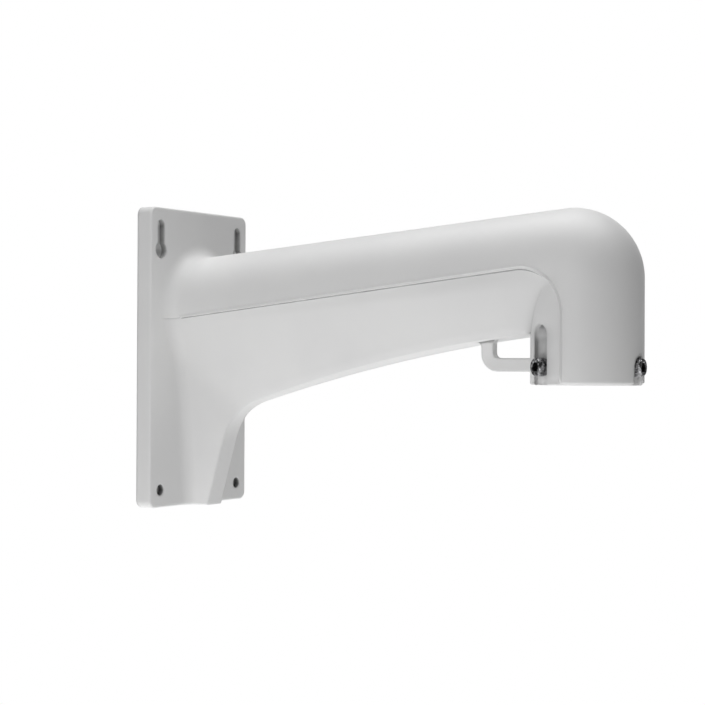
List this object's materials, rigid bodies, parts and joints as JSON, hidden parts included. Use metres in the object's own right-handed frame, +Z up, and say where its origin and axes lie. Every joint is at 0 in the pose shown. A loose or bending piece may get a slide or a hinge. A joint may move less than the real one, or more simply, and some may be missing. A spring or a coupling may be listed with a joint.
{
  "type": "camera wall bracket",
  "caption": "White cast wall bracket whose hollow arm rises from a flat plate, turns down at an elbow and ends in a round threaded outlet.",
  "frame": {"origin": "middle of the plate's back face, on the wall", "axes": "+X away from the wall, along the arm; +Y to the side; +Z up"},
  "size_m": [0.3079, 0.097, 0.1826],
  "materials": {
    "white_paint": "satin white powder coat on cast aluminium",
    "dark_steel": "black oxide"
  },
  "bodies": {
    "root": {"bracket_casting": "white_paint", "lock_screws": "dark_steel"}
  },
  "joints": []
}
